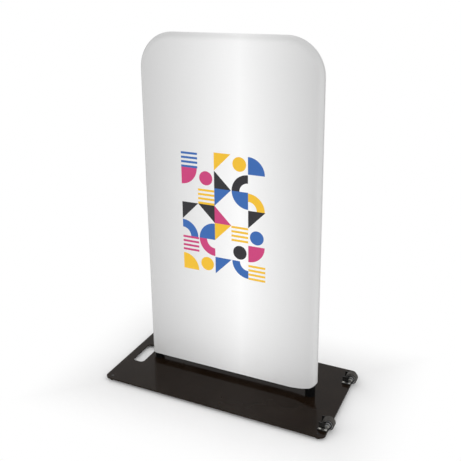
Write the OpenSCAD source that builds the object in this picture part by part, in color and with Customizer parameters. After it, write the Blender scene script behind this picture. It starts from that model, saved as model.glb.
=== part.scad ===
// Double-sided pavement sign: a printed fabric cover with a zip along its lower edge, drawn over a
// round-cornered tube frame. The frame plugs on two spigots of a heavy steel base plate, which has a
// hand slot at one short end and two transport wheels at the other.
// Millimetres, +Z up, printed front facing -Y, wheels towards +X. The origin is at floor level,
// in the middle of the whole sign.

/* [Base plate] */
// From a post's centre to the nearer short edge of the steel plate
plate_side = 113; // [106:1:160]
// Depth of the steel plate, front to back
plate_d = 398; // [360:2:520]
// Thickness of the steel plate
plate_t = 5; // [5:0.5:10]
// Radius of the plate's corners
plate_corner_r = 18; // [12:1:34]
// Length of the hand slot, front to back
slot_l = 120; // [100:2:150]
// From the sign's middle plane forward to the middle of the hand slot
slot_forward = 6; // [0:1:10]
// Width of the hand slot
slot_w = 46; // [36:1:52]
// Radius of the hand slot's corners
slot_corner_r = 14; // [8:1:17]
// Width of the gripping bar left outside the hand slot
slot_bar = 31; // [24:1:36]

/* [Feet] */
// Diameter of a rubber foot
foot_dia = 24; // [18:1:28]
// Height of a rubber foot
foot_h = 8; // [7:0.5:9]
// From the plate's short edges to the middle of a foot
foot_inset_x = 24; // [20:1:27]
// From the plate's long edges to the middle of a foot
foot_inset_y = 16; // [15:1:20]

/* [Wheels] */
// Diameter of a transport wheel
wheel_dia = 40; // [38:1:44]
// Width of a transport wheel's tread
wheel_w = 24; // [20:1:30]
// From the plate's long edges to the middle of a wheel
wheel_inset = 62; // [58:1:110]
// Height of the axle above the plate
axle_h = 12.5; // [12.5:0.5:15]
// From the plate's wheel edge in to the axle
axle_inset = 4; // [1:0.5:6]
// Diameter of the axle bolt
axle_dia = 8; // [6:0.5:8]
// Radius of a wheel bracket's round nose, about the axle
cheek_nose_r = 8.5; // [8:0.5:10]
// Sheet thickness of a wheel bracket
bracket_t = 3; // [2:0.5:3]
// Width of a wheel bracket's foot
bracket_foot_w = 13; // [13:0.5:16]

/* [Frame] */
// Outside diameter of the frame tube
tube_dia = 35; // [32:0.5:40]
// Wall thickness of the frame tube
tube_wall = 2; // [1.5:0.25:2.25]
// From post centre to post centre
post_spacing = 600; // [540:2:640]
// Radius of the top bends, to the tube's centre line
bend_r = 100; // [80:1:150]
// Straight leg at each end of a top bend
bend_leg = 60; // [50:1:80]
// Height of the push-together joint in each post, above the cover's lower edge
post_joint_h = 580; // [450:5:700]
// Diameter of the bottom cross bar
bar_dia = 25; // [20:0.5:27]
// Height of a spigot above the plate
spigot_h = 120; // [80:1:160]

/* [Cover] */
// Width of the seam that stands out along the cover's sides and top
seam_w = 6.3; // [4:0.1:12]
// Height of the printed cover
cover_h = 1196; // [1000:2:1500]
// Gap between the plate and the cover's lower edge
cover_gap = 22; // [20:0.5:40]
// Thickness of the fabric
cloth_t = 0.9; // [0.6:0.1:1.2]
// Width of the round lower corner of the cover on the wheel side
lower_corner_w = 110; // [90:1:114]
// Height of that round corner
lower_corner_h = 34; // [24:1:44]
// From a post's centre to the nearer end of the zip
zip_end = 96; // [92:1:120]
// Length of the zip pull, from its hinge to its tip
pull_l = 15; // [12:0.5:16]

/* [Hidden] */

$fn = 64;
// Facets round a rod or hole this small
small_fn = 32;
// How far a cutting solid runs past what it cuts
over = 1;
// Play between a fixed part and the hole that it sits in
fit_gap = 0.05;
// Play between a turning or sliding part and its guide
run_gap = 0.05;
// Gap between two pieces that rest against each other across a joint
seat_gap = 0.3;

// Levels of the base, from the floor up
plate_z = foot_h;
deck_z = foot_h + plate_t;
axle_z = deck_z + axle_h;
wheel_r = wheel_dia / 2;
wheel_reach = wheel_r - axle_inset;
wheel_y = plate_d / 2 - wheel_inset;
plate_l = post_spacing + 2 * plate_side;
plate_mid_x = -wheel_reach / 2;
plate_left_x = plate_mid_x - plate_l / 2;
plate_right_x = plate_mid_x + plate_l / 2;
slot_mid_x = plate_left_x + slot_bar + slot_w / 2;
axle_x = plate_right_x - axle_inset;

// Feet and their countersunk screws
foot_x = plate_l / 2 - foot_inset_x;
foot_y = plate_d / 2 - foot_inset_y;
foot_draft = 1.5;
foot_screw_r = 2.5;
foot_screw_head_r = 4.8;
foot_screw_head_h = 2.6;
foot_screw_bite = 6;
foot_socket_r = 1.5;
foot_socket_depth = 1.6;

// Wheel brackets: an upright cheek and a foot turned away from the wheel
side_play = 4;
cheek_h = axle_h + cheek_nose_r;
cheek_inner_y = wheel_w / 2 + side_play;
cheek_outer_y = cheek_inner_y + bracket_t;
cheek_back = 28;
strip_t = 1.5;
strip_w = 9.5;
bracket_screw_r = 2.5;
bracket_screw_head_r = 4.2;
bracket_screw_head_h = 2;
bracket_screw_edge = 7.5;
bracket_screw_pitch = 18;
bracket_screw_bite = plate_t * 0.8;
strip_inset = 1;
bracket_screw_y = cheek_outer_y + bracket_foot_w / 2;
notch_play = 2;
notch_corner_r = 4;
notch_depth = axle_inset + wheel_r + notch_play;
notch_w = wheel_w + 2 * notch_play;

// Axle bolt, washers, nut and the sleeve that the wheel turns on
axle_r = axle_dia / 2;
hex_head_r = axle_r * 1.6;
hex_head_h = axle_r * 1.1;
nut_h = axle_r * 1.7;
washer_r = axle_r * 1.9;
washer_t = 1.2;
sleeve_wall = 1.5;
sleeve_r = axle_r + fit_gap + sleeve_wall;
axle_tail = 2;

// Wheel: tread on a hub with a flanged bush, and a bright ring in each side face
tread_t = 4;
tread_round = 2.5;
bush_wall = 1.5;
bush_end_play = 0.5;
bush_flange_t = side_play - bush_end_play;
bush_flange_w = 2;
bush_r = sleeve_r + run_gap + bush_wall;
bush_flange_r = bush_r + bush_flange_w;
rim_r = wheel_r - tread_t;
rim_ring_w = 1.8;
rim_ring_t = 1.4;
rim_ring_proud = 0.6;
hub_dish = 2;
hub_boss_wall = 1.5;
hub_boss_r = bush_flange_r + hub_boss_wall;

// Frame tubes
tube_r = tube_dia / 2;
tube_ri = tube_r - tube_wall;
post_x = post_spacing / 2;
cover_z = deck_z + cover_gap;
cover_top_z = cover_z + cover_h;
tube_top_z = cover_top_z - seam_w - cloth_t - seat_gap - tube_r;
post_base_z = deck_z + seat_gap;
joint_z = cover_z + post_joint_h;
bend_z = tube_top_z - bend_r;
bend_start_z = bend_z - bend_leg;
bend_start_x = post_x - bend_r - bend_leg;
bar_z = cover_z + bar_dia;
bar_wall = 2;
cope_gap = 0.1;
weld_w = 3.5;
weld_gap = 0.02;

// Spigots, and the plastic bushes that slide over them
post_bush_wall = 1.5;
post_bush_short = 10;
post_bush_l = spigot_h - post_bush_short;
spigot_r = tube_ri - fit_gap - post_bush_wall - run_gap;
spigot_chamfer = 3;
spigot_screw_r = 4;
spigot_screw_l = 28;
spigot_head_r = 8;
spigot_head_h = 4;
thread_relief = 3;

// Tube connectors, their rivets and the snap buttons
connector_wall = 2.5;
connector_r = tube_ri - fit_gap;
connector_ri = connector_r - connector_wall;
connector_l = 80;
long_connector_l = 140;
rivet_r = 2.4;
rivet_head_r = 4.5;
rivet_head_h = 1.2;
rivet_step = connector_l / 4;
button_drop = long_connector_l / 4;
button_r = 4;
button_travel = 4;
button_flange_r = 5.5;
button_flange_t = 1.5;
button_proud = 3.5;
button_round = 1;
button_pocket_r = 2.6;
button_pocket_depth = 4;
button_flange_sagitta = connector_ri - sqrt(connector_ri * connector_ri - button_flange_r * button_flange_r);
button_foot_x = connector_ri - seat_gap - button_flange_t - button_flange_sagitta;
spring_r = 2;
spring_wire_r = 0.35;
spring_out_r = spring_r + spring_wire_r;
spring_turns = 7;
spring_steps = 8;
spring_sides = 6;

// Cover
wrap_ri = tube_r + seat_gap;
wrap_r = wrap_ri + cloth_t;
seam_t = 2.4;
cover_side_x = post_x + wrap_r + seam_w;
strip_clear = 4;
strip_left_x = post_x - tube_r - strip_clear;
strip_right_x = cover_side_x - lower_corner_w;

// Zip: two tapes with their rows of teeth, two stops, the slider and its pull
slider_l = 11;
slider_w = 9;
slider_t = 1.2;
slider_clear = 3.5;
zip_l = post_spacing - 2 * zip_end;
hem_y = slider_w / 2 + slider_clear;
hem_lap = 6;
zip_slit = 1.2;
tape_w = hem_y + hem_lap - zip_slit / 2;
tape_t = 1;
teeth_w = 2.6;
teeth_t = 2.6;
tape_z = cover_z + cloth_t + fit_gap;
teeth_mid_z = tape_z + tape_t / 2;
tape_end = 8;
stop_l = 4;
stop_t = 0.8;
slider_web = 0.8;
slider_play = 0.3;
slider_x = plate_mid_x - zip_l / 2 + slider_l / 2 + seat_gap;
slider_gap_z = teeth_t / 2 + slider_play;
slider_low_z = teeth_mid_z - slider_gap_z - slider_t;
pin_r = 0.7;
bail_w = 1.6;
bail_t = 0.9;
bail_in = 2.4;
pin_gap = 0.3;
pin_z = slider_low_z - pin_gap - pin_r;
bail_in_z = pin_z - pin_r - pin_gap;
pull_w = 6;
pull_t = 1.2;
pull_arm_w = 1.4;
pull_window = 4.8;
pull_hole_r = 1.2;

steel_black = "#211e1c";
tube_black = "#141414";
zinc = "#a9abad";
rubber_black = "#191919";
tread_grey = "#5c5a58";
nylon_black = "#1c1b1a";
nylon_grey = "#8f9092";
cloth_white = "#e6e6e6";
zip_white = "#d9d9d9";

// A plate outline with rounded corners, centred, from circles and squares
module rounded_outline(l, d, r) {
    square([l - 2 * r, d], center = true);
    square([l, d - 2 * r], center = true);
    for (x = [-1, 1], y = [-1, 1]) translate([x * (l / 2 - r), y * (d / 2 - r)]) circle(r);
}

// A pipe along +Z
module pipe(r, ri, l) {
    difference() {
        cylinder(r = r, h = l);
        translate([0, 0, -over]) cylinder(r = ri, h = l + 2 * over);
    }
}

// A rod along +Z that starts at the origin
module rod(r, l, fn = small_fn) {
    cylinder(r = r, h = l, $fn = fn);
}

// Countersunk screw, head up at the origin, shank down, with a hexagon socket
module countersunk_screw(r, l, head_r, head_h, socket_r, socket_depth) {
    difference() {
        union() {
            translate([0, 0, -head_h]) cylinder(r1 = r, r2 = head_r, h = head_h, $fn = small_fn);
            translate([0, 0, -l]) rod(r, l - head_h);
        }
        translate([0, 0, -socket_depth]) cylinder(r = socket_r, h = socket_depth + over, $fn = 6);
    }
}

// The hole for such a screw, with its play
module countersunk_hole(r, l, head_r, head_h) {
    translate([0, 0, -head_h])
        cylinder(r1 = r + fit_gap, r2 = head_r + fit_gap, h = head_h, $fn = small_fn);
    translate([0, 0, -l]) rod(r + fit_gap, l);
    rod(head_r + fit_gap, over);
}

// Places its children at the four feet, at floor level
module at_feet() {
    for (x = [-1, 1], y = [-1, 1]) translate([plate_mid_x + x * foot_x, y * foot_y, 0]) children();
}

// Places its children at the two posts, at floor level
module at_posts() {
    for (side = [-1, 1]) translate([plate_mid_x + side * post_x, 0, 0]) children();
}

// Places its children at both wheels, with the origin on the axle in the wheel's middle plane
module at_wheels() {
    for (side = [-1, 1]) translate([axle_x, side * wheel_y, axle_z]) children();
}

// Places its children at the four wheel brackets on the deck, with +Y away from the wheel
module at_brackets() {
    for (wheel = [-1, 1], side = [-1, 1])
        translate([axle_x, wheel * wheel_y, deck_z]) scale_side(side) children();
}

// Turns +Y into the given side by mirroring
module scale_side(side) {
    if (side > 0) children();
    else mirror([0, 1, 0]) children();
}

// Places its children at the two screws of one bracket's foot
module at_bracket_screws() {
    for (i = [0, 1])
        translate([-cheek_back + bracket_screw_edge + i * bracket_screw_pitch, bracket_screw_y, 0])
            children();
}

// Steel base plate with the hand slot, the wheel notches and all screw holes
module base_plate() {
    color(steel_black) difference() {
        translate([plate_mid_x, 0, plate_z]) linear_extrude(plate_t)
            rounded_outline(plate_l, plate_d, plate_corner_r);
        translate([slot_mid_x, -slot_forward, plate_z - over]) linear_extrude(plate_t + 2 * over)
            rounded_outline(slot_w, slot_l, slot_corner_r);
        for (side = [-1, 1]) translate([plate_right_x, side * wheel_y, plate_z - over])
            linear_extrude(plate_t + 2 * over)
                rounded_outline(2 * notch_depth, notch_w, notch_corner_r);
        at_feet() translate([0, 0, deck_z])
            countersunk_hole(foot_screw_r, plate_t + over, foot_screw_head_r, foot_screw_head_h);
        at_posts() translate([0, 0, plate_z]) mirror([0, 0, 1])
            countersunk_hole(spigot_screw_r, plate_t + over, spigot_head_r, spigot_head_h);
        at_brackets() at_bracket_screws() translate([0, 0, -bracket_screw_bite])
            rod(bracket_screw_r + fit_gap, bracket_screw_bite + over);
    }
}

// Rubber feet, slightly tapered, each with the bore that its screw bites into
module rubber_feet() {
    color(rubber_black) at_feet() difference() {
        cylinder(r1 = foot_dia / 2 - foot_draft, r2 = foot_dia / 2, h = foot_h);
        translate([0, 0, foot_h - foot_screw_bite - over])
            rod(foot_screw_r + fit_gap, foot_screw_bite + 2 * over);
    }
}

// Countersunk screws that hold the feet, heads in the deck
module foot_screws() {
    color(steel_black) at_feet() translate([0, 0, deck_z])
        countersunk_screw(foot_screw_r, plate_t + foot_screw_bite, foot_screw_head_r,
            foot_screw_head_h, foot_socket_r, foot_socket_depth);
}

// One spigot: a steel bar with a chamfered top and a tapped hole from beneath
module spigot(side) {
    color(steel_black) translate([plate_mid_x + side * post_x, 0, deck_z]) difference() {
        union() {
            rod(spigot_r, spigot_h - spigot_chamfer, $fn);
            translate([0, 0, spigot_h - spigot_chamfer])
                cylinder(r1 = spigot_r, r2 = spigot_r - spigot_chamfer, h = spigot_chamfer);
        }
        translate([0, 0, -over])
            rod(spigot_screw_r + fit_gap, spigot_screw_l - plate_t + thread_relief + over);
    }
}

// Countersunk screws that hold the spigots from beneath the plate
module spigot_screws() {
    color(zinc) at_posts() translate([0, 0, plate_z]) mirror([0, 0, 1])
        countersunk_screw(spigot_screw_r, spigot_screw_l, spigot_head_r, spigot_head_h,
            spigot_screw_r * 0.6, spigot_head_h / 2);
}

// One wheel bracket, folded from sheet: cheek round the axle, foot on the deck
module bracket_body() {
    difference() {
        union() {
            translate([0, cheek_outer_y, 0]) rotate([90, 0, 0]) linear_extrude(bracket_t) {
                translate([-cheek_back, 0]) square([cheek_back, cheek_h]);
                translate([0, axle_h]) circle(cheek_nose_r);
            }
            translate([-cheek_back, cheek_outer_y - bracket_t, 0])
                cube([cheek_back + axle_inset, bracket_foot_w + bracket_t, bracket_t]);
        }
        translate([0, cheek_outer_y + over, axle_h]) rotate([90, 0, 0])
            rod(axle_r + fit_gap, bracket_t + 2 * over, $fn);
        at_bracket_screws() translate([0, 0, -over])
            rod(bracket_screw_r + fit_gap, bracket_t + 2 * over);
    }
}

// A bracket at the given wheel, front -1 or rear 1, on the given side of that wheel
module bracket(wheel, side) {
    color(steel_black) translate([axle_x, wheel * wheel_y, deck_z])
        scale_side(side) bracket_body();
}

// Bright strips under the screw heads on the brackets' feet
module bracket_strips() {
    color(zinc) at_brackets() difference() {
        translate([-cheek_back + strip_inset, bracket_screw_y - strip_w / 2, bracket_t])
            cube([cheek_back + axle_inset - 2 * strip_inset, strip_w, strip_t]);
        at_bracket_screws() translate([0, 0, bracket_t - over])
            rod(bracket_screw_r + fit_gap, strip_t + 2 * over);
    }
}

// Button-head screws through strip and bracket foot into the plate
module bracket_screws() {
    color(zinc) at_brackets() at_bracket_screws() translate([0, 0, bracket_t + strip_t])
        difference() {
            union() {
                translate([0, 0, -bracket_t - strip_t - bracket_screw_bite])
                    rod(bracket_screw_r, bracket_t + strip_t + bracket_screw_bite);
                cylinder(r1 = bracket_screw_head_r, r2 = bracket_screw_head_r * 0.6,
                    h = bracket_screw_head_h, $fn = small_fn);
            }
            translate([0, 0, bracket_screw_head_h / 2])
                cylinder(r = bracket_screw_r * 0.6, h = bracket_screw_head_h, $fn = 6);
        }
}

// Axle bolts, hexagon heads towards the front
module axle_bolts() {
    head_y = -cheek_outer_y - washer_t;
    color(zinc) at_wheels() translate([0, head_y, 0]) {
        rotate([90, 0, 0]) cylinder(r = hex_head_r, h = hex_head_h, $fn = 6);
        rotate([-90, 0, 0])
            rod(axle_r, 2 * (cheek_outer_y + washer_t) + nut_h + axle_tail, $fn);
    }
}

// Washers under the bolt heads and nuts
module axle_washers() {
    color(zinc) at_wheels() for (side = [-1, 1]) scale_side(side)
        translate([0, cheek_outer_y, 0]) rotate([-90, 0, 0])
            pipe(washer_r, axle_r + fit_gap, washer_t);
}

// Lock nuts on the far ends of the axle bolts
module axle_nuts() {
    color(zinc) at_wheels() translate([0, cheek_outer_y + washer_t, 0]) rotate([-90, 0, 0])
        difference() {
            cylinder(r = hex_head_r, h = nut_h, $fn = 6);
            translate([0, 0, -over]) rod(axle_r + fit_gap, nut_h + 2 * over, $fn);
        }
}

// Distance sleeves that the bolts clamp between the cheeks
module axle_sleeves() {
    color(zinc) at_wheels() translate([0, -cheek_inner_y, 0]) rotate([-90, 0, 0])
        pipe(sleeve_r, axle_r + fit_gap, 2 * cheek_inner_y);
}

// Places its children at one wheel, with +Z along the axle
module at_wheel(wheel) {
    translate([axle_x, wheel * wheel_y, axle_z]) rotate([-90, 0, 0]) children();
}

// Tread ring with rounded shoulders
module tyre(wheel) {
    half = wheel_w / 2;
    color(tread_grey) at_wheel(wheel) rotate_extrude() polygon([
        [rim_r, -half], [wheel_r - tread_round, -half], [wheel_r, tread_round - half],
        [wheel_r, half - tread_round], [wheel_r - tread_round, half], [rim_r, half]]);
}

// Dished hub with a boss, bored for the bush and turned for a ring in each face
module hub(wheel) {
    half = wheel_w / 2;
    ring_r = rim_r - rim_ring_w - fit_gap;
    floor_z = half - hub_dish;
    groove_z = half - rim_ring_t + rim_ring_proud - fit_gap;
    color(nylon_black) at_wheel(wheel) rotate_extrude() polygon([
        [bush_r + fit_gap, -half], [hub_boss_r, -half], [hub_boss_r, -floor_z],
        [ring_r - hub_dish, -floor_z], [ring_r, -half], [ring_r, -groove_z], [rim_r - fit_gap, -groove_z],
        [rim_r - fit_gap, groove_z], [ring_r, groove_z], [ring_r, half], [ring_r - hub_dish, floor_z],
        [hub_boss_r, floor_z], [hub_boss_r, half], [bush_r + fit_gap, half]]);
}

// Flanged bush that runs on the axle sleeve
module wheel_bush(wheel) {
    half = wheel_w / 2;
    inner = sleeve_r + run_gap;
    color(nylon_grey) at_wheel(wheel) rotate_extrude() polygon([
        [inner, -half - bush_flange_t], [bush_flange_r, -half - bush_flange_t],
        [bush_flange_r, -half - fit_gap], [bush_r, -half - fit_gap], [bush_r, half + fit_gap],
        [bush_flange_r, half + fit_gap], [bush_flange_r, half + bush_flange_t],
        [inner, half + bush_flange_t]]);
}

// Bright rings set in both side faces of the wheel
module wheel_rims(wheel) {
    half = wheel_w / 2;
    color(zinc) at_wheel(wheel) for (side = [0, 1]) mirror([0, 0, side])
        translate([0, 0, half + rim_ring_proud - rim_ring_t])
            pipe(rim_r - fit_gap, rim_r - rim_ring_w, rim_ring_t);
}

// Hole across one wall of a tube at the given height, towards the middle of the sign
module inward_hole(side, r, h) {
    translate([0, 0, h]) rotate([0, -side * 90, 0]) rod(r, tube_dia);
}

// Lower post, from the deck to the push-together joint, with the snap button's hole
module post(side) {
    color(tube_black) translate([plate_mid_x + side * post_x, 0, post_base_z]) difference() {
        pipe(tube_r, tube_ri, joint_z - post_base_z);
        inward_hole(side, button_r + run_gap, joint_z - button_drop - post_base_z);
    }
}

// Plastic bush in the foot of a post, which slides over the spigot
module post_bush(side) {
    color(nylon_grey) translate([plate_mid_x + side * post_x, 0, post_base_z])
        pipe(tube_ri - fit_gap, spigot_r + run_gap, post_bush_l);
}

// Upper side tube, riveted to both of its connectors
module upright(side) {
    color(tube_black) translate([plate_mid_x + side * post_x, 0, joint_z]) difference() {
        pipe(tube_r, tube_ri, bend_start_z - joint_z);
        inward_hole(side, rivet_r + fit_gap, button_drop);
        inward_hole(side, rivet_r + fit_gap, bend_start_z - joint_z - rivet_step);
    }
}

// Bent top corner with a straight leg at each end
module bend(side) {
    color(tube_black) translate([plate_mid_x, 0, 0]) mirror([side > 0 ? 0 : 1, 0, 0])
        difference() {
            union() {
                translate([post_x, 0, bend_start_z]) pipe(tube_r, tube_ri, bend_leg);
                translate([post_x - bend_r, 0, bend_z]) rotate([90, 0, 0])
                    rotate_extrude(angle = 90) translate([bend_r, 0]) difference() {
                        circle(tube_r);
                        circle(tube_ri);
                    }
                translate([bend_start_x, 0, tube_top_z]) rotate([0, 90, 0])
                    pipe(tube_r, tube_ri, bend_leg);
            }
            translate([post_x, 0, 0]) inward_hole(1, rivet_r + fit_gap, bend_start_z + rivet_step);
            translate([bend_start_x + rivet_step, 0, tube_top_z]) mirror([0, 0, 1])
                rod(rivet_r + fit_gap, tube_dia);
        }
}

// Straight tube between the two bends
module top_tube() {
    color(tube_black) translate([plate_mid_x - bend_start_x, 0, tube_top_z]) difference() {
        rotate([0, 90, 0]) pipe(tube_r, tube_ri, 2 * bend_start_x);
        for (x = [rivet_step, 2 * bend_start_x - rivet_step]) translate([x, 0, 0])
            mirror([0, 0, 1]) rod(rivet_r + fit_gap, tube_dia);
    }
}

// Cross bar low in the cover, its ends cut to fit round the posts
module bottom_bar() {
    color(tube_black) difference() {
        translate([plate_mid_x - post_x, 0, bar_z]) rotate([0, 90, 0])
            pipe(bar_dia / 2, bar_dia / 2 - bar_wall, post_spacing);
        at_posts() rod(tube_r + cope_gap, cover_top_z, $fn);
    }
}

// Weld beads round both ends of the cross bar
module bar_welds() {
    bead_r = bar_dia / 2 + weld_w / 2;
    color(steel_black) difference() {
        for (side = [-1, 1]) translate([plate_mid_x + side * post_x, 0, bar_z])
            rotate([0, -side * 90, 0])
                pipe(bead_r, bar_dia / 2 + weld_gap, tube_r + weld_w);
        at_posts() rod(tube_r + weld_gap, cover_top_z, $fn);
    }
}

// Connector tube inside a joint, centred on it, along +Z, with the given holes in its +X wall
module connector_body(l, holes) {
    color(zinc) difference() {
        translate([0, 0, -l / 2]) pipe(connector_r, connector_ri, l);
        for (hole = holes) translate([0, 0, hole[0]]) rotate([0, 90, 0])
            rod(hole[1], tube_dia);
    }
}

// Places its children at a joint in a side tube, with +X towards the middle of the sign
module at_side_joint(side, h) {
    translate([plate_mid_x + side * post_x, 0, h]) mirror([side > 0 ? 1 : 0, 0, 0]) children();
}

// Places its children at a joint in the top tube, with +X downwards and +Z to the side
module at_top_joint(side) {
    translate([plate_mid_x + side * bend_start_x, 0, tube_top_z])
        mirror([side > 0 ? 0 : 1, 0, 0]) rotate([0, 90, 0]) children();
}

// Connector of the push-together joint: riveted above, held by the snap button below
module connector(side) {
    at_side_joint(side, joint_z)
        connector_body(long_connector_l,
            [[button_drop, rivet_r + fit_gap], [-button_drop, button_r + run_gap]]);
}

// Connector between a side tube and a bend
module connector_bend(side) {
    at_side_joint(side, bend_start_z)
        connector_body(connector_l,
            [[rivet_step, rivet_r + fit_gap], [-rivet_step, rivet_r + fit_gap]]);
}

// Connector between a bend and the top tube
module connector_top(side) {
    at_top_joint(side)
        connector_body(connector_l,
            [[rivet_step, rivet_r + fit_gap], [-rivet_step, rivet_r + fit_gap]]);
}

// Blind rivet along +X through tube and connector, its head on the tube
module rivet() {
    rotate([0, 90, 0]) {
        translate([0, 0, connector_ri]) rod(rivet_r, tube_r - connector_ri);
        translate([0, 0, tube_r])
            cylinder(r1 = rivet_head_r, r2 = rivet_head_r / 2, h = rivet_head_h, $fn = small_fn);
    }
}

// All blind rivets, on the tubes' inner sides where no fabric touches them
module connector_rivets() {
    color(tube_black) for (side = [-1, 1]) {
        at_side_joint(side, joint_z) translate([0, 0, button_drop]) rivet();
        at_side_joint(side, bend_start_z) for (z = [-rivet_step, rivet_step])
            translate([0, 0, z]) rivet();
        at_top_joint(side) for (z = [-rivet_step, rivet_step]) translate([0, 0, z]) rivet();
    }
}

// Snap button through connector and post, with the flange that keeps it in
module button(side) {
    shoulder_x = tube_r + button_proud - button_round;
    color(zinc) at_side_joint(side, joint_z - button_drop) rotate([0, 90, 0]) difference() {
        union() {
            translate([0, 0, button_foot_x]) rod(button_flange_r, button_flange_t);
            translate([0, 0, button_foot_x]) rod(button_r, shoulder_x - button_foot_x);
            translate([0, 0, shoulder_x])
                cylinder(r1 = button_r, r2 = button_r - button_round, h = button_round,
                    $fn = small_fn);
        }
        translate([0, 0, button_foot_x - over]) rod(button_pocket_r, button_pocket_depth + over);
    }
}

// Points of one ring of the coil spring's wire, at the given turn
function coil_ring(turn, pitch, lift) = [
    for (s = [0 : spring_sides - 1])
        let (a = 360 * s / spring_sides, r = spring_r + spring_wire_r * cos(a))
        [r * cos(360 * turn), r * sin(360 * turn), lift + pitch * turn + spring_wire_r * sin(a)]];

// Compression spring between the far wall of the connector and the button
module button_spring(side) {
    wall_x = sqrt(connector_ri * connector_ri - spring_out_r * spring_out_r);
    low = -wall_x + spring_wire_r + fit_gap;
    high = button_foot_x + button_pocket_depth - spring_wire_r - seat_gap;
    pitch = (high - low) / spring_turns;
    rings = spring_turns * spring_steps;
    n = spring_sides;
    points = [for (i = [0 : rings]) each coil_ring(i / spring_steps, pitch, low)];
    skin = [for (i = [0 : rings - 1], s = [0 : n - 1])
        let (a = i * n + s, b = i * n + (s + 1) % n)
        each [[a, b, b + n], [a, b + n, a + n]]];
    caps = [for (s = [1 : n - 2]) each [[0, s + 1, s], [rings * n, rings * n + s, rings * n + s + 1]]];
    color(zinc) at_side_joint(side, joint_z - button_drop) rotate([0, 90, 0])
        polyhedron(points, concat(skin, caps), convexity = 4);
    echo(least_coil_gap = pitch - 2 * spring_wire_r);
}

// Half of a fabric sleeve round a side or top tube, as a flat outline that opens to -X
module sleeve_outline() {
    difference() {
        circle(wrap_r);
        circle(wrap_ri);
        translate([-wrap_r - over, -wrap_r - over]) square([wrap_r + over, 2 * (wrap_r + over)]);
    }
}

// Outline of a face of the cover between the tubes' centre lines
module face_outline() {
    square_h = tube_top_z - bend_r - cover_z;
    translate([-post_x, cover_z]) square([2 * post_x, square_h]);
    translate([bend_r - post_x, cover_z]) square([2 * (post_x - bend_r), tube_top_z - cover_z]);
    for (side = [-1, 1]) translate([side * (post_x - bend_r), bend_z]) circle(bend_r);
}

// Outline of the cover at the given distance outside the tubes' centre lines
module edge_outline(out) {
    r = bend_r + out;
    translate([-post_x - out, cover_z]) square([2 * (post_x + out), bend_z - cover_z]);
    translate([bend_r - post_x, cover_z])
        square([2 * (post_x - bend_r), tube_top_z + out - cover_z]);
    for (side = [-1, 1]) translate([side * (post_x - bend_r), bend_z]) circle(r);
}

// Printed cover: two faces, the rolls over the tubes, the side seams and the lower hem
module cover() {
    color(cloth_white) translate([plate_mid_x, 0, 0]) difference() {
        union() {
            for (side = [-1, 1]) translate([0, side * (wrap_ri + cloth_t / 2) + cloth_t / 2, 0])
                rotate([90, 0, 0]) linear_extrude(cloth_t) face_outline();
            for (side = [0, 1]) mirror([side, 0, 0]) {
                translate([post_x, 0, cover_z]) linear_extrude(bend_z - cover_z) sleeve_outline();
                translate([post_x - bend_r, 0, bend_z]) rotate([90, 0, 0])
                    rotate_extrude(angle = 90) translate([bend_r, 0]) sleeve_outline();
            }
            translate([bend_r - post_x, 0, tube_top_z]) rotate([0, 90, 0])
                linear_extrude(2 * (post_x - bend_r)) rotate([0, 0, 180]) sleeve_outline();
            translate([0, seam_t / 2, 0]) rotate([90, 0, 0]) linear_extrude(seam_t) difference() {
                edge_outline(wrap_r + seam_w);
                edge_outline(wrap_r - cloth_t / 2);
            }
            for (side = [0, 1]) mirror([0, side, 0])
                translate([-strip_left_x, hem_y, cover_z]) cube([
                    strip_left_x + strip_right_x, wrap_ri + cloth_t / 2 - hem_y, cloth_t]);
        }
        translate([cover_side_x, wrap_r + over, cover_z]) rotate([90, 0, 0])
            linear_extrude(2 * (wrap_r + over)) difference() {
                translate([-lower_corner_w, -over])
                    square([lower_corner_w + over, lower_corner_h + over]);
                translate([-lower_corner_w, lower_corner_h])
                    scale([lower_corner_w / lower_corner_h, 1]) circle(lower_corner_h);
            }
    }
}

// Zip tapes sewn inside the hems, each with its row of teeth
module zip_tapes() {
    tape_l = zip_l + 2 * tape_end;
    color(zip_white) translate([plate_mid_x, 0, 0]) for (side = [0, 1]) mirror([0, side, 0]) {
        translate([-tape_l / 2, zip_slit / 2, tape_z]) cube([tape_l, tape_w, tape_t]);
        translate([-zip_l / 2, zip_slit / 2, teeth_mid_z - teeth_t / 2])
            cube([zip_l, teeth_w, teeth_t]);
    }
}

// Metal stops clamped across both rows just past their ends
module zip_stops() {
    stop_w = zip_slit + 2 * teeth_w;
    color(zinc) translate([plate_mid_x, 0, tape_z]) for (side = [0, 1]) mirror([side, 0, 0])
        for (z = [-stop_t - fit_gap, tape_t + fit_gap])
            translate([zip_l / 2 + fit_gap, -stop_w / 2, z]) cube([stop_l, stop_w, stop_t]);
}

// Outline of the slider's plates, with round ends
module slider_outline() {
    end_r = slider_w / 3;
    rounded_outline(slider_l, slider_w, end_r);
}

// Zip slider: two plates joined by a web between the rows, and the bail that holds the pull
module zip_slider() {
    color(zinc) translate([slider_x, 0, 0]) {
        translate([0, 0, slider_low_z]) linear_extrude(slider_t, $fn = small_fn) slider_outline();
        translate([0, 0, teeth_mid_z + slider_gap_z])
            linear_extrude(slider_t, $fn = small_fn) slider_outline();
        translate([-slider_l / 4, -slider_web / 2, slider_low_z + slider_t / 2])
            cube([slider_l / 2, slider_web, 2 * slider_gap_z + slider_t]);
        for (side = [0, 1]) mirror([side, 0, 0]) translate([bail_in, -bail_w / 2, bail_in_z - bail_t])
            cube([bail_t, bail_w, slider_low_z + slider_t / 2 - bail_in_z + bail_t]);
        translate([-bail_in - bail_t, -bail_w / 2, bail_in_z - bail_t])
            cube([2 * (bail_in + bail_t), bail_w, bail_t]);
    }
}

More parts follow.
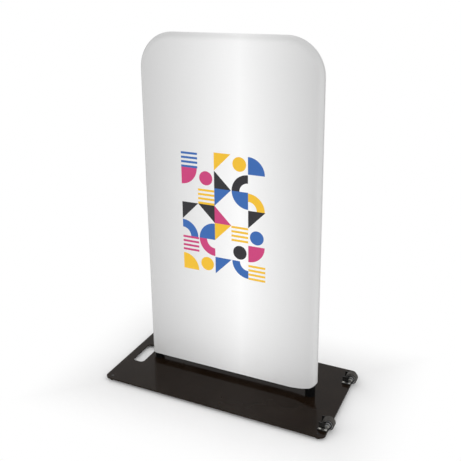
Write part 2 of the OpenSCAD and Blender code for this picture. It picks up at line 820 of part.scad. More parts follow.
// Zip pull: a cross pin held by the bail, two arms and a tab with a hole
module zip_pull() {
    color(zinc) translate([slider_x, 0, pin_z]) {
        translate([0, -pull_w / 2, 0]) rotate([-90, 0, 0]) rod(pin_r, pull_w, 16);
        for (side = [0, 1]) mirror([0, side, 0])
            translate([-pull_t / 2, pull_w / 2 - pull_arm_w, -pull_window])
                cube([pull_t, pull_arm_w, pull_window]);
        difference() {
            translate([pull_t / 2, 0, 0]) rotate([0, -90, 0]) linear_extrude(pull_t) {
                translate([-pull_l + pull_w / 2, -pull_w / 2])
                    square([pull_l - pull_window - pull_w / 2, pull_w]);
                translate([-pull_l + pull_w / 2, 0]) circle(pull_w / 2, $fn = small_fn);
            }
            translate([-pull_t, 0, -pull_l + pull_w / 2]) rotate([0, 90, 0])
                rod(pull_hole_r, 2 * pull_t, 16);
        }
    }
}

base_plate();
rubber_feet();
foot_screws();
spigot(-1);  // spigot_left
spigot(1);  // spigot_right
spigot_screws();
bracket(-1, -1);  // bracket_front_outer
bracket(-1, 1);  // bracket_front_inner
bracket(1, -1);  // bracket_rear_inner
bracket(1, 1);  // bracket_rear_outer
bracket_strips();
bracket_screws();
axle_bolts();
axle_washers();
axle_nuts();
axle_sleeves();
tyre(-1);  // wheel_front_tyre
hub(-1);  // wheel_front_hub
wheel_bush(-1);  // wheel_front_bush
wheel_rims(-1);  // wheel_front_rims
tyre(1);  // wheel_rear_tyre
hub(1);  // wheel_rear_hub
wheel_bush(1);  // wheel_rear_bush
wheel_rims(1);  // wheel_rear_rims
post(-1);  // post_left
post(1);  // post_right
post_bush(-1);  // post_bush_left
post_bush(1);  // post_bush_right
upright(-1);  // upright_left
upright(1);  // upright_right
bend(-1);  // bend_left
bend(1);  // bend_right
top_tube();
bottom_bar();
bar_welds();
connector(-1);  // connector_left
connector(1);  // connector_right
connector_bend(-1);  // connector_bend_left
connector_bend(1);  // connector_bend_right
connector_top(-1);  // connector_top_left
connector_top(1);  // connector_top_right
connector_rivets();
button(-1);  // button_left
button(1);  // button_right
button_spring(-1);  // button_spring_left
button_spring(1);  // button_spring_right
cover();
zip_tapes();
zip_stops();
zip_slider();
zip_pull();
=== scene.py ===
import math

import bmesh
import bpy
from mathutils import Matrix, Vector


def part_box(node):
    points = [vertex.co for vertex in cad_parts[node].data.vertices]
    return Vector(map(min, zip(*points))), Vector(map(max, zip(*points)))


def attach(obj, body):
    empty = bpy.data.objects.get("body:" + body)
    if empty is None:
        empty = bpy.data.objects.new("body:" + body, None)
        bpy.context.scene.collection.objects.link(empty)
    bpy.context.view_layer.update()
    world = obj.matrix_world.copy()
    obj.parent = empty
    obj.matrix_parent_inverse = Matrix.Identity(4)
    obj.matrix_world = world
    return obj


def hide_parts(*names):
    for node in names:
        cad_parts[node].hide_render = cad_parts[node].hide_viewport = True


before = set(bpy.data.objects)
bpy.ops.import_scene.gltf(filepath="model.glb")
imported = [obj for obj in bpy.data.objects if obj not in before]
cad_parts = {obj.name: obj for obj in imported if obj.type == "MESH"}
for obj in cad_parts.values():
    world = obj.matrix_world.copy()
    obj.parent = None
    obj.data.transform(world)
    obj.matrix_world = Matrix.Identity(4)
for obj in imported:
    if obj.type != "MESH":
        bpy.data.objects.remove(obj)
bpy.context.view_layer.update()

# Camera: where the photographer stood, to the right of the sign and a little above it.
# Its place and lens were fitted to the edges of the steel plate and of the cover.
yaw, pitch, roll = math.radians(24.855), math.radians(15.618), math.radians(-0.479)
ahead = Vector((-math.sin(yaw) * math.cos(pitch), math.cos(yaw) * math.cos(pitch), -math.sin(pitch)))
level = Vector((math.cos(yaw), math.sin(yaw), 0))
upright = level.cross(ahead)
right = level * math.cos(roll) + upright * math.sin(roll)
over = upright * math.cos(roll) - level * math.sin(roll)
stand = Matrix.Translation((0.90227, -1.89484, 1.39369))
camera = bpy.data.objects.new("camera", bpy.data.cameras.new("camera"))
bpy.context.scene.collection.objects.link(camera)
camera.matrix_world = stand @ Matrix((right, over, -ahead)).transposed().to_4x4()
photo, focal, middle_x, middle_y = 461, 659.744, 237.718, 163.501
camera.data.sensor_width = 36
camera.data.lens = focal * 36 / photo
camera.data.shift_x = (photo / 2 - middle_x) / photo
camera.data.shift_y = (middle_y - photo / 2) / photo
camera.data.clip_end = 50
bpy.context.scene.camera = camera


# Base plate: 5 mm steel sheet, laser cut with its hand slot, wheel notches and screw holes.
# Gloss powder coat, brown black, with a faint orange peel, dust and scuffs where hands hold it.
class Value:
    """One shader value. Sums, products and comparisons of it add Math nodes."""

    def __init__(self, shading, socket):
        self.shading, self.socket = shading, socket

    def math(self, operation, *values):
        return self.shading.node("Math", {"operation": operation}, dict(enumerate(values)))

    def __add__(self, other): return self.math("ADD", self, other)
    def __radd__(self, other): return self.math("ADD", other, self)
    def __sub__(self, other): return self.math("SUBTRACT", self, other)
    def __rsub__(self, other): return self.math("SUBTRACT", other, self)
    def __mul__(self, other): return self.math("MULTIPLY", self, other)
    def __rmul__(self, other): return self.math("MULTIPLY", other, self)
    def __truediv__(self, other): return self.math("DIVIDE", self, other)
    def __mod__(self, other): return self.math("FLOORED_MODULO", self, other)
    def __lt__(self, other): return self.math("LESS_THAN", self, other)
    def __gt__(self, other): return self.math("GREATER_THAN", self, other)
    def __abs__(self): return self.math("ABSOLUTE", self)
    def sine(self): return self.math("SINE", self)
    def root(self): return self.math("SQRT", self)
    def most(self, other): return self.math("MAXIMUM", self, other)

    def rise(self, low, high, bottom=0.0, top=1.0):
        """bottom where this is under low, top where it is over high, and a smooth slope between."""
        return self.shading.node("MapRange", {"interpolation_type": "SMOOTHSTEP"}, {
            "Value": self, "From Min": low, "From Max": high, "To Min": bottom, "To Max": top})


class Shading:
    """The node tree of a material or of the sky, with its one shader."""

    def __init__(self, owner, shader):
        owner.use_nodes = True
        self.tree = owner.node_tree
        self.shader = self.tree.nodes[shader]

    def node(self, kind, settings=None, sockets=None, output=0):
        """A shader node of this kind: its settings come first, then its sockets are set or linked."""
        made = self.tree.nodes.new("ShaderNode" + kind)
        for key, setting in (settings or {}).items():
            setattr(made, key, setting)
        for key, value in (sockets or {}).items():
            self.feed(made.inputs[key], value)
        return Value(self, made.outputs[output])

    def feed(self, socket, value):
        if isinstance(value, Value):
            self.tree.links.new(value.socket, socket)
        else:
            socket.default_value = value

    def set(self, sockets):
        for key, value in sockets.items():
            self.feed(self.shader.inputs[key], value)


class Finish(Shading):
    """A finish: one principled shader, and the nodes that vary it over the surface."""

    def __init__(self, name):
        self.material = bpy.data.materials.new(name)
        super().__init__(self.material, "Principled BSDF")
        self.place = self.node("TexCoord", output="Object")

    def axes(self):
        """The place on the object, in metres along X, Y and Z."""
        split = self.node("SeparateXYZ", {}, {0: self.place}).socket.node
        return [Value(self, socket) for socket in split.outputs]

    def noise(self, scale, detail=2.0, roughness=0.5, stretch=(1, 1, 1)):
        """Soft random mottle; a stretch under 1 along an axis draws it out along that axis."""
        place = self.node("Mapping", {}, {"Vector": self.place, "Scale": stretch})
        return self.node("TexNoise", {}, {
            "Vector": place, "Scale": scale, "Detail": detail, "Roughness": roughness})

    def mix(self, share, first, second):
        return self.node("Mix", {"data_type": "RGBA"}, {0: share, 6: first, 7: second}, 2)

    def relief(self, height):
        """Surface relief, with its height in metres."""
        self.feed(self.shader.inputs["Normal"], self.node(
            "Bump", {}, {"Strength": 1.0, "Distance": 1.0, "Height": height}))

    def on(self, *nodes):
        for node in nodes:
            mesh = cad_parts[node].data
            mesh.materials.clear()
            mesh.materials.append(self.material)


def screen(red, green, blue):
    """A colour given as it looks on a screen, 0 to 255, as the shader's linear values."""
    shares = [c / 255 for c in (red, green, blue)]
    return (*[s / 12.92 if s <= 0.04045 else ((s + 0.055) / 1.055) ** 2.4 for s in shares], 1.0)


coat = Finish("plate powder coat")
plate_low, plate_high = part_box("base_plate")
x, y, _ = coat.axes()
mid_x = (plate_low[0] + plate_high[0]) / 2
to_short_edge = (plate_high[0] - plate_low[0]) / 2 - abs(x - mid_x)
to_long_edge = plate_high[1] - abs(y)
edge = to_short_edge.math("MINIMUM", to_short_edge, to_long_edge)
cloud = coat.noise(14, 3, 0.6)
dust = coat.noise(1400, 1, 0.5).rise(0.62, 0.75) * cloud.rise(0.35, 0.75)
scratch = coat.noise(90, 4, 0.75, (1, 9, 1)).rise(0.66, 0.72)
scratch = scratch + coat.noise(110, 4, 0.75, (12, 1, 1)).rise(0.68, 0.73)
scuff = scratch * edge.rise(0.004, 0.05, 0.5, 0.05)
chip = coat.noise(260, 3, 0.7).rise(0.68, 0.72) * edge.rise(0.0008, 0.004, 1.0, 0.0)
brown = coat.mix(cloud, screen(24, 16, 10), screen(31, 22, 14))
brown = coat.mix(dust * 0.25, brown, screen(120, 112, 102))
brown = coat.mix(scuff * 0.4, brown, screen(92, 84, 76))
coat.set({"Base Color": coat.mix(chip, brown, screen(118, 116, 114)), "Specular IOR Level": 0.10,
          "Roughness": cloud.rise(0.3, 0.7, 0.10, 0.17) + 0.25 * scuff + 0.2 * dust})
coat.relief(0.000003 * coat.noise(520, 2) + 0.00002 * coat.noise(22, 1) - 0.00004 * chip)
coat.on("base_plate", "spigot_left", "spigot_right")

# Feet: four turned rubber pucks, each held by a countersunk screw from above.
# Moulded black rubber, matt, with a fine grain and pale dust rubbed into it near the floor.
rubber = Finish("foot rubber")
z = rubber.axes()[2]
grain = rubber.noise(900, 3, 0.6)
dirt = rubber.noise(160, 3, 0.6).rise(0.4, 0.7) * z.rise(0.0, 0.006, 1.0, 0.15)
black = rubber.mix(grain, screen(22, 21, 20), screen(38, 37, 36))
rubber.set({"Base Color": rubber.mix(dirt * 0.6, black, screen(104, 98, 90)),
            "Roughness": grain.rise(0.3, 0.7, 0.72, 0.95), "Specular IOR Level": 0.35})
rubber.relief(0.00006 * grain)
rubber.on("rubber_feet")

# Wheel brackets: steel sheet, punched and folded, four of them, and the screws of the feet.
# Satin black powder coat with a fine orange peel, rubbed a little paler here and there.
satin = Finish("bracket powder coat")
peel = satin.noise(1100, 2, 0.5)
rub = satin.noise(120, 4, 0.7).rise(0.58, 0.72)
black = satin.mix(peel, screen(10, 9, 8), screen(17, 15, 14))
satin.set({"Base Color": satin.mix(rub * 0.35, black, screen(78, 74, 70)),
           "Roughness": 0.38 + 0.14 * rub + 0.1 * peel, "Specular IOR Level": 0.3})
satin.relief(0.00001 * peel)
satin.on("bracket_front_outer", "bracket_front_inner", "bracket_rear_inner", "bracket_rear_outer",
         "foot_screws")

# Fasteners of the wheel units: strips, screws, bolts, washers, nuts, sleeves and wheel rings.
# Bright zinc plate over steel: a blue-grey and straw mottle, small spangles and draw lines.
zinc = Finish("zinc plate")
spangle = zinc.node("TexVoronoi", {}, {"Vector": zinc.place, "Scale": 700.0}, "Distance")
cloud = zinc.noise(240, 3, 0.6)
drawn = zinc.noise(2200, 2, 0.5, (0.08, 1, 1))
bright = zinc.mix(cloud.rise(0.35, 0.65), screen(150, 155, 162), screen(182, 178, 168))
stain = zinc.noise(420, 4, 0.7).rise(0.6, 0.74)
zinc.set({"Base Color": zinc.mix(stain * 0.5, bright, screen(96, 92, 87)), "Metallic": 1.0,
          "Roughness": 0.2 + 0.14 * spangle + 0.1 * drawn + 0.2 * stain})
zinc.relief(0.000004 * spangle + 0.000003 * drawn)
zinc.on("bracket_strips", "bracket_screws", "axle_bolts", "axle_washers", "axle_nuts", "axle_sleeves",
        "spigot_screws", "wheel_front_rims", "wheel_rear_rims")

# Wheels: dark grey rubber tread, moulded on a black nylon hub that turns on a grey nylon bush.
# The tread is finely ribbed across and dusty, with painted shade darkening the grooves between its ribs;
# the nylon has the spark grain of its mould.
for end in ("front", "rear"):
    tread = Finish("tread rubber " + end)
    low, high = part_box(f"wheel_{end}_tyre")
    x, _, z = tread.axes()
    dx, dz = x - (low[0] + high[0]) / 2, z - (low[2] + high[2]) / 2
    out = (dx * dx + dz * dz).root()
    turn = dz.math("ARCTAN2", dz, dx)
    ribs = (turn * 48).sine() * 0.5 + 0.5
    radius = (high[2] - low[2]) / 2
    worn = out.rise(radius - 0.0012, radius - 0.0002)
    fleck = tread.noise(700, 3, 0.6)
    grey = tread.mix(fleck, screen(32, 30, 28), screen(50, 47, 44))
    grey = tread.mix(worn * fleck.rise(0.4, 0.6) * 0.5, grey, screen(78, 73, 67))
    # The near-black mixed in where the ribs sink, in the worn band, is painted shade in the grooves.
    tread.set({"Base Color": tread.mix(ribs * worn * 0.3, grey, screen(22, 21, 20)),
               "Roughness": fleck.rise(0.3, 0.7, 0.62, 0.85), "Specular IOR Level": 0.4})
    tread.relief(0.00004 * fleck - 0.00018 * ribs * worn)
    tread.on(f"wheel_{end}_tyre")

nylon = Finish("hub nylon")
spark = nylon.noise(1500, 2, 0.5)
smear = nylon.noise(130, 3, 0.6).rise(0.4, 0.7)
black = nylon.mix(spark, screen(16, 15, 15), screen(26, 25, 25))
nylon.set({"Base Color": nylon.mix(smear * 0.3, black, screen(66, 62, 58)),
           "Roughness": 0.42 + 0.2 * spark, "Specular IOR Level": 0.4})
nylon.relief(0.00002 * spark)
nylon.on("wheel_front_hub", "wheel_rear_hub")

bush = Finish("bush nylon")
spark = bush.noise(1300, 2, 0.5)
flow = bush.noise(200, 2, 0.5, (1, 1, 0.2))
bush.set({"Base Color": bush.mix(flow, screen(132, 132, 134), screen(166, 166, 167)),
          "Roughness": 0.4 + 0.2 * spark})
bush.relief(0.00002 * spark)
bush.on("wheel_front_bush", "wheel_rear_bush", "post_bush_left", "post_bush_right")


# Frame: 35 mm aluminium tube, extruded, cut, bent at the top corners, and black anodised.
# Satin, with fine draw lines along each tube; the spigot foot and the joints carry rub marks.
def anodised(name, along, *nodes):
    """Black anodised tube with its draw lines along one axis."""
    black = Finish(name)
    lines = black.noise(1600, 3, 0.6, along)
    bloom = black.noise(18, 3, 0.55)
    rub = black.noise(140, 4, 0.75, [0.3 + 0.7 * a for a in along]).rise(0.66, 0.74)
    deep = black.mix(bloom, screen(4, 4, 4), screen(8, 8, 9))
    black.set({"Base Color": black.mix(rub * 0.3, deep, screen(86, 86, 88)), "Specular IOR Level": 0.2,
               "Roughness": 0.26 + 0.12 * lines + 0.1 * bloom + 0.1 * rub})
    black.relief(0.000005 * lines)
    black.on(*nodes)


anodised("black anodised upright", (1, 1, 0.01), "post_left", "post_right", "upright_left",
         "upright_right")
anodised("black anodised crosswise", (0.01, 1, 1), "top_tube", "bottom_bar")
anodised("black anodised bend", (0.3, 1, 0.3), "bend_left", "bend_right")

# Weld beads: laid round both ends of the cross bar, painted over in satin black.
# Each bead shows the ripple of its drops under the paint.
bead = Finish("painted weld")
low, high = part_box("bar_welds")
_, y, z = bead.axes()
around = z.math("ARCTAN2", z - (low[2] + high[2]) / 2, y)
wobble = bead.noise(300, 2, 0.5)
ripple = (around * 22 + 2.5 * wobble).sine() * 0.5 + 0.5
bead.set({"Base Color": bead.mix(wobble, screen(12, 12, 12), screen(26, 25, 24)),
          "Roughness": 0.34 + 0.18 * ripple, "Specular IOR Level": 0.35})
bead.relief(0.00015 * ripple + 0.00004 * wobble)
bead.on("bar_welds")

# Connectors and rivets: aluminium tube that joins the frame's tubes from inside, mill finish.
# Extrusion lines run along it, over a dull grey oxide.
mill = Finish("mill aluminium")
lines = mill.noise(1900, 3, 0.6, (1, 1, 0.02))
oxide = mill.noise(60, 4, 0.65)
mill.set({"Base Color": mill.mix(oxide, screen(164, 166, 169), screen(196, 197, 199)),
          "Metallic": 1.0, "Roughness": 0.28 + 0.16 * lines + 0.1 * oxide})
mill.relief(0.000006 * lines)
mill.on("connector_left", "connector_right", "connector_bend_left", "connector_bend_right",
        "connector_top_left", "connector_top_right", "connector_rivets")

# Snap buttons and their springs: turned and coiled steel, nickel plated, as the zip's metal is.
# Polished, with fine hairlines and a slight tarnish.
nickel = Finish("nickel plate")
hair = nickel.noise(2600, 2, 0.5, (1, 0.1, 1))
tarnish = nickel.noise(300, 4, 0.65).rise(0.4, 0.75)
nickel.set({"Base Color": nickel.mix(tarnish, screen(192, 190, 184), screen(160, 154, 142)),
            "Metallic": 1.0, "Roughness": 0.16 + 0.1 * hair + 0.16 * tarnish})
nickel.relief(0.000003 * hair)
nickel.on("button_left", "button_right", "button_spring_left", "button_spring_right", "zip_stops",
          "zip_slider", "zip_pull")

# Cover: two printed polyester faces, sewn together round the tubes with a narrow lip outside.
# The lower edge is folded in and hemmed for the zip; the wheel-side lower corner is cut round.
low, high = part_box("cover")
face_y, hem_z = high[1], low[2]
left_x, right_x = [sum(corner[0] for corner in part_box(post)) / 2 for post in ("post_left", "post_right")]
cloth_t = 0.0009
lip_out, lip_y = 0.0063, 0.00105  # the lip's reach past the roll, and each cloth's place beside the seam
lip_drop = 0.010  # how much lower the lip hangs at its square foot
ridge = face_y + lip_out - 0.002  # where the slope of the cloth comes down to the seam
meet = math.acos(face_y / ridge)  # where the cloth leaves the tube
bend_r, bend_steps = 0.1, 24
bend_z = high[2] - face_y - lip_out - bend_r
corner_w, corner_h, corner_cuts = 0.110, 0.034, 14
strip_left, strip_right = left_x + 0.0215, high[0] - corner_w
strip_y = 0.008  # half the gap that the hems leave for the zip
hem_h = 0.011


def finished(name, shape, finish, body):
    """A finished piece from a bmesh, with its finish and the body it rides on."""
    mesh = bpy.data.meshes.new(name)
    for face in shape.faces:
        face.smooth = True
    shape.to_mesh(mesh)
    shape.free()
    mesh.materials.append(finish.material)
    made = bpy.data.objects.new(name, mesh)
    bpy.context.scene.collection.objects.link(made)
    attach(made, body)
    return made


def roll_profile():
    """Across the cloth from the tube's crown to the lip: how far out, and how far from the middle."""
    steps = 9
    crown = math.pi / 2
    arc = [crown + (meet - crown) * i / steps for i in range(steps + 1)]
    slope_out, slope_y = face_y * math.cos(meet), face_y * math.sin(meet)
    reach = 1 - 1.6 * lip_y / slope_y
    return [(face_y * math.cos(a), face_y * math.sin(a)) for a in arc] + [
        (slope_out + (ridge - slope_out) * reach, slope_y * (1 - reach)),
        (ridge - 0.0004, lip_y * 1.08), (ridge + 0.0006, lip_y), (face_y + lip_out, lip_y)]


def cover_half(name, side, finish):
    """One face of the cover with its half of the roll and lip, as a single sheet."""
    sheet = bmesh.new()
    chain = [sheet.verts.new((left_x - out, side * y, bend_z)) for out, y in roll_profile()]
    edges = [sheet.edges.new(pair) for pair in zip(chain, chain[1:])]
    made = bmesh.ops.extrude_edge_only(sheet, edges=edges)["geom"]
    foot = [v for v in made if isinstance(v, bmesh.types.BMVert)]
    bmesh.ops.translate(sheet, verts=foot, vec=(0, 0, hem_z - bend_z))
    for v in foot:
        v.co.z -= lip_drop * (face_y - abs(v.co.y)) / (face_y - lip_y)
    inner_left = max(foot, key=lambda v: v.co.x)

    def sweep(geom, centre_x):
        return bmesh.ops.spin(sheet, geom=geom, cent=(centre_x, 0, bend_z), axis=(0, 1, 0),
                              angle=math.pi / 2, steps=bend_steps, use_duplicate=False)["geom_last"]

    def push(geom, vec):
        made = bmesh.ops.extrude_edge_only(
            sheet, edges=[e for e in geom if isinstance(e, bmesh.types.BMEdge)])["geom"]
        ends = [v for v in made if isinstance(v, bmesh.types.BMVert)]
        bmesh.ops.translate(sheet, verts=ends, vec=vec)
        return [g for g in made if not isinstance(g, bmesh.types.BMFace)]

    last = sweep(chain + edges, left_x + bend_r)
    last = push(last, (right_x - left_x - 2 * bend_r, 0, 0))
    last = sweep(last, right_x - bend_r)
    last = push(last, (0, 0, hem_z - bend_z))
    inner_right = min((v for v in last if isinstance(v, bmesh.types.BMVert)), key=lambda v: v.co.x)

    ends = [sheet.verts.new((x, side * face_y, hem_z)) for x in (strip_left, strip_right)]
    bottom = [sheet.edges.new(pair) for pair in (
        (inner_left, ends[0]), (ends[0], ends[1]), (ends[1], inner_right))]
    inner = [e for e in sheet.edges if len(e.link_faces) < 2 and all(
        abs(abs(v.co.y) - face_y) < 1e-6 for v in e.verts)]
    face = bmesh.ops.edgeloop_fill(sheet, edges=inner)["faces"]
    bmesh.ops.inset_individual(sheet, faces=face, thickness=0.012, use_even_offset=True)
    hem = [e for e in sheet.edges if e.is_boundary and abs(e.verts[0].co.z - hem_z) < 1e-6
           and {round(v.co.x, 5) for v in e.verts} == {round(strip_left, 5), round(strip_right, 5)}]
    made = bmesh.ops.extrude_edge_only(sheet, edges=hem)["geom"]
    bmesh.ops.translate(sheet, verts=[v for v in made if isinstance(v, bmesh.types.BMVert)],
                        vec=(0, side * (strip_y - face_y), 0))
    for i in range(corner_cuts):
        a = math.pi / 2 * (i + 0.5) / corner_cuts
        at = (high[0] - corner_w * (1 - math.sin(a)), 0, hem_z + corner_h * (1 - math.cos(a)))
        bmesh.ops.bisect_plane(
            sheet, geom=sheet.verts[:] + sheet.edges[:] + sheet.faces[:], plane_co=at,
            plane_no=(math.sin(a) * corner_h, 0, -math.cos(a) * corner_w), clear_outer=True)
    bmesh.ops.recalc_face_normals(sheet, faces=sheet.faces)
    widest = max(sheet.faces, key=lambda f: f.calc_area())
    if widest.normal.y * side < 0:
        bmesh.ops.reverse_faces(sheet, faces=sheet.faces)
    sharpest = 0.8
    for e in sheet.edges:
        e.smooth = not e.is_boundary and e.calc_face_angle(0) < sharpest
    made = finished(name, sheet, finish, "sign_frame")
    thick = made.modifiers.new("cloth", "SOLIDIFY")
    thick.thickness, thick.offset, thick.use_even_offset = cloth_t, -1, True
    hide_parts("cover")
    return made


def printed(name, side):
    """Woven polyester, with painted shade grey at both sides and a painted highlight white near the middle,
    and a printed block of plain shapes: five by seven squares of discs, quarters, arches, bars and halves
    in four inks."""
    cloth = Finish(name)
    x, y, z = cloth.axes()
    across = (x - (left_x + right_x) / 2) * -side
    # The cloth's colour across its width is painted shade, grey at both sides, and a painted highlight,
    # white near the middle; ground carries it.
    painted_highlight_at, right_shade_span, left_shade_span = 0.049, 0.276, 0.374
    painted_shade = ((across - painted_highlight_at) / right_shade_span).most((painted_highlight_at - across) / left_shade_span)
    ground = cloth.mix(painted_shade, screen(249, 249, 249), screen(200, 200, 200))
    square, columns, rows = 0.062, 5, 7
    block_left, block_foot = 2.75 * square, 0.41
    u, v = (across + block_left) / square, (z - block_foot) / square
    column, row = u.math("FLOOR", u), v.math("FLOOR", v)
    kind = (column * 2 + row * 3 + column * row) % 5
    turn = (column + row * 2) % 4
    ink = (column * 3 + row * 5 + column * column) % 4
    s, t = u - column, v - row
    s = s + ((turn % 2) > 0.5) * (1 - 2 * s)
    t = t + (turn > 1.5) * (1 - 2 * t)
    from_corner = (s * s + t * t).root()
    from_centre = ((s - 0.5) * (s - 0.5) + (t - 0.5) * (t - 0.5)).root()
    shapes = (from_corner < 0.96, (from_corner < 0.96) * (from_corner > 0.5), from_centre < 0.4,
              ((t * 4) % 1.0) < 0.5, (s + t) < 1.0)
    shape = sum((abs(kind - number) < 0.5) * drawn for number, drawn in enumerate(shapes))
    shape = shape * (column > -0.5) * (column < columns - 0.5) * (row > -0.5) * (row < rows - 0.5)
    shape = shape * (abs((column + row * 3) % 7 - 5) > 0.5)
    colour = cloth.mix(abs(ink - 1) < 0.5, screen(240, 190, 46), screen(200, 62, 120))
    colour = cloth.mix(abs(ink - 2) < 0.5, colour, screen(52, 102, 174))
    colour = cloth.mix(abs(ink - 3) < 0.5, colour, screen(40, 39, 43))
    yarn = math.pi / 0.00042
    weave = ((x + y) * yarn).sine() * (z * yarn).sine()
    slub = cloth.noise(420, 2, 0.5, (0.04, 0.04, 1)) + cloth.noise(420, 2, 0.5, (1, 1, 0.04))
    soil = cloth.noise(9, 3, 0.6).rise(0.45, 0.8) * z.rise(hem_z, hem_z + 0.12, 1.0, 0.0)
    colour = cloth.mix(shape, ground, colour)
    colour = cloth.mix(0.03 * slub + 0.02 * weave, colour, screen(150, 150, 150))
    cloth.set({"Base Color": cloth.mix(0.12 * soil, colour, screen(150, 140, 126)),
               "Roughness": 0.74 + 0.06 * slub - 0.08 * shape, "Specular IOR Level": 0.25})
    cloth.relief(0.000012 * weave + 0.000012 * slub)
    return cloth


front = cover_half("cover_front", -1, printed("print front", -1))
back = cover_half("cover_back", 1, printed("print back", 1))

# Sewing: white polyester thread, lockstitched along the lip, above the hem and along the zip.
# Each stitch is a short twisted bead that lies on the cloth, a little sunk at both ends.
thread = Finish("sewing thread")
x, _, z = thread.axes()
twist = ((x + z) * 9000).sine() * 0.5 + 0.5
thread.set({"Base Color": thread.mix(twist, screen(196, 196, 195), screen(232, 232, 231)),
            "Roughness": 0.6 + 0.2 * thread.noise(3000)})
thread.relief(0.00004 * twist)


def repeated(shape, places):
    """One small shape, copied to each place of a list and gathered in one bmesh."""
    pattern = bpy.data.meshes.new("pattern")
    shape.to_mesh(pattern)
    shape.free()
    gathered = bmesh.new()
    for place in places:
        copied = pattern.copy()
        copied.transform(place)
        gathered.from_mesh(copied)
        bpy.data.meshes.remove(copied)
    bpy.data.meshes.remove(pattern)
    return gathered


def sewn(name, lines):
    """Stitches along lines of points, one bead each."""
    pitch, half_l, half_w, half_t = 0.0034, 0.00135, 0.00024, 0.00018
    stitch = bmesh.new()
    bmesh.ops.create_uvsphere(
        stitch, u_segments=6, v_segments=3, radius=1,
        matrix=Matrix.Diagonal((half_l, half_w, half_t, 1)) @ Matrix.Rotation(math.pi / 2, 4, "Y"))
    places = []
    for line in lines:
        due = pitch / 2
        for start, end in zip(line, line[1:]):
            step = Vector(end) - Vector(start)
            turned = Matrix.Rotation(math.atan2(-step.z, step.x), 4, "Y")
            while due < step.length:
                at = Vector(start) + step * (due / step.length)
                places.append(Matrix.Translation(at) @ turned)
                due += pitch
            due -= step.length
    return finished(name, repeated(stitch, places), thread, "sign_frame")


above = 0.0001
for name, half, side in (("front", front, -1), ("back", back, 1)):
    lip = face_y + lip_out - 0.0012
    lip_at = side * (lip_y + above)
    arcs = [(centre_x, start + math.pi / 2 * i / bend_steps) for centre_x, start in (
        (left_x + bend_r, -math.pi / 2), (right_x - bend_r, 0.0)) for i in range(bend_steps + 1)]
    lip_line = [(left_x - lip, lip_at, hem_z)] + [
        (centre_x + (bend_r + lip) * math.sin(a), lip_at, bend_z + (bend_r + lip) * math.cos(a))
        for centre_x, a in arcs] + [(right_x + lip, lip_at, hem_z + corner_h)]
    hem_at = side * (face_y + above)
    hem_line = [(x, hem_at, hem_z + hem_h) for x in (left_x - 0.004, strip_right - 0.006)]
    zip_line = [(x, side * 0.0118, hem_z - above) for x in (left_x + 0.1, right_x - 0.1)]
    stitches = sewn(f"cover_stitches_{name}", (lip_line, hem_line, zip_line))

# Zip: two woven polyester tapes sewn inside the hems, each with a row of moulded teeth.
# The teeth are off-white acetal, each one shut round the edge of its tape.
tape_cloth = Finish("zip tape")
x, y, _ = tape_cloth.axes()
bones = abs((y * 400) % 1.0 - 0.5) * 0.004
ribs = ((x + bones) * (2 * math.pi / 0.0009)).sine() * 0.5 + 0.5
fuzz = tape_cloth.noise(1800, 3, 0.6)
off_white = tape_cloth.mix(ribs * 0.5 + fuzz * 0.3, screen(188, 188, 186), screen(226, 226, 224))
tape_cloth.set({"Base Color": off_white,
                "Roughness": 0.8 + 0.15 * fuzz})
tape_cloth.relief(0.00006 * ribs + 0.00002 * fuzz)
acetal = Finish("zip teeth")
cast = acetal.noise(700, 2, 0.5)
acetal.set({"Base Color": acetal.mix(cast, screen(206, 206, 203), screen(228, 228, 225)),
            "Roughness": 0.35 + 0.15 * cast})
acetal.relief(0.00001 * acetal.noise(2400))
low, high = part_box("zip_tapes")
tape_z = (low[2] + high[2]) / 2
tape_l, tape_t, tape_w = high[0] - low[0], 0.0009, 0.0134
teeth_l, teeth_w, teeth_t, teeth_n = tape_l - 0.016, 0.0026, high[2] - low[2], 163
pitch = teeth_l / teeth_n
for name, side in (("front", -1), ("back", 1)):
    ribbon = bmesh.new()
    across = [ribbon.verts.new((low[0], side * w, tape_z))
              for w in (0.0016, 0.0032, 0.0075, 0.0118, high[1])]
    edges = [ribbon.edges.new(pair) for pair in zip(across, across[1:])]
    made = bmesh.ops.extrude_edge_only(ribbon, edges=edges)["geom"]
    bmesh.ops.translate(ribbon, verts=[v for v in made if isinstance(v, bmesh.types.BMVert)],
                        vec=(tape_l, 0, 0))
    tape = finished(f"zip_tape_{name}", ribbon, tape_cloth, "sign_frame")
    thick = tape.modifiers.new("weave", "SOLIDIFY")
    thick.thickness, thick.offset = tape_t, 0
    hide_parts("zip_tapes")
    tooth = bmesh.new()
    bmesh.ops.create_cube(tooth, size=1, matrix=Matrix.Diagonal((pitch * 0.56, teeth_w, teeth_t, 1)))
    bmesh.ops.scale(tooth, vec=(0.72, 1, 0.8), verts=[v for v in tooth.verts if v.co.y * side < 0])
    bmesh.ops.bevel(tooth, geom=tooth.edges[:], offset=0.0002, segments=1, profile=0.5, affect="EDGES",
                    material=-1)
    first_x = (low[0] + high[0] - teeth_l) / 2 + pitch * (0.3 if side < 0 else 0.7)
    places = [Matrix.Translation((first_x + pitch * i, side * (0.0006 + teeth_w / 2), tape_z))
              for i in range(teeth_n)]
    teeth = finished(f"zip_teeth_{name}", repeated(tooth, places), acetal, "sign_frame")
    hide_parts("zip_tapes")


# Floor: one wide plain sheet of white card, which takes the sign's soft shadow.
# Away from the plate it goes over to pure white, so that no edge shows against the sky.
def seen_directly(shading):
    """1 for what the camera, a mirror or a clear pane shows, 0 for rays that only carry light."""
    camera_ray, mirror_ray, pane_ray = [
        shading.node("LightPath", output=f"Is {kind} Ray") for kind in ("Camera", "Glossy", "Transmission")]
    return camera_ray.most(mirror_ray).most(pane_ray)


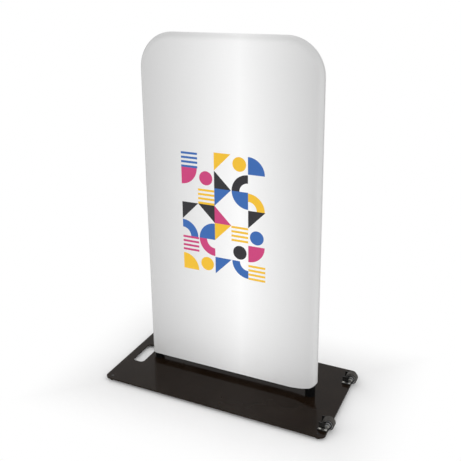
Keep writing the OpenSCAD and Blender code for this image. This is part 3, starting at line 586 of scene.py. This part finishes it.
floor_mesh = bpy.data.meshes.new("floor")
ground = bmesh.new()
bmesh.ops.create_grid(ground, x_segments=1, y_segments=1, size=40)
ground.to_mesh(floor_mesh)
ground.free()
floor = bpy.data.objects.new("floor", floor_mesh)
bpy.context.scene.collection.objects.link(floor)
pale = Finish("floor")
x, y, _ = pale.axes()
shadow_w = 0.26
away = (abs(x) - plate_high[0]).most(abs(y) - plate_high[1]).rise(0.0, shadow_w)
white = pale.node("Emission", {}, {"Color": (1, 1, 1, 1), "Strength": 1.0})
pale.set({"Base Color": (0.93, 0.93, 0.93, 1), "Roughness": 0.9, "Specular IOR Level": 0.0})
card = Value(pale, pale.shader.outputs[0])
both = pale.node("MixShader", {}, {0: away * seen_directly(pale), 1: card, 2: white})
pale.feed(pale.tree.nodes["Material Output"].inputs["Surface"], both)
floor_mesh.materials.append(pale.material)

# Light: a soft white sky and four large lamps at the corners of the room.
# Two low strips light the foot of the cover, where the dark plate sends nothing back.
sky_light, sky_seen = 0.78, 1.0
world = bpy.data.worlds.new("world")
bpy.context.scene.world = world
sky = Shading(world, "Background")
sky.set({"Color": (1, 1, 1, 1), "Strength": sky_light + (sky_seen - sky_light) * seen_directly(sky)})

for name, at, aim, width, height, watts in (
        ("front right lamp", (2.8, -1.9, 0.8), 0.4, 2.4, 2.4, 25),
        ("front left lamp", (-2.8, -1.9, 0.8), 0.4, 2.4, 2.4, 23),
        ("back right lamp", (3.0, 1.5, 0.8), 0.4, 2.0, 2.0, 20),
        ("back left lamp", (-3.0, 1.5, 0.8), 0.4, 2.0, 2.0, 20),
        ("low front strip", (0.3, -0.8, 0.10), 0.06, 2.1, 0.14, 1.3),
        ("low back strip", (-0.3, 0.8, 0.10), 0.06, 2.1, 0.14, 1.3)):
    lamp = bpy.data.objects.new(name, bpy.data.lights.new(name, "AREA"))
    lamp.data.shape, lamp.data.energy = "RECTANGLE", watts
    lamp.data.size, lamp.data.size_y = width, height
    lamp.location = at
    lamp.rotation_euler = (Vector((0, 0, aim)) - Vector(at)).to_track_quat("-Z", "Y").to_euler()
    bpy.context.scene.collection.objects.link(lamp)
bpy.context.scene.view_settings.view_transform = "Standard"
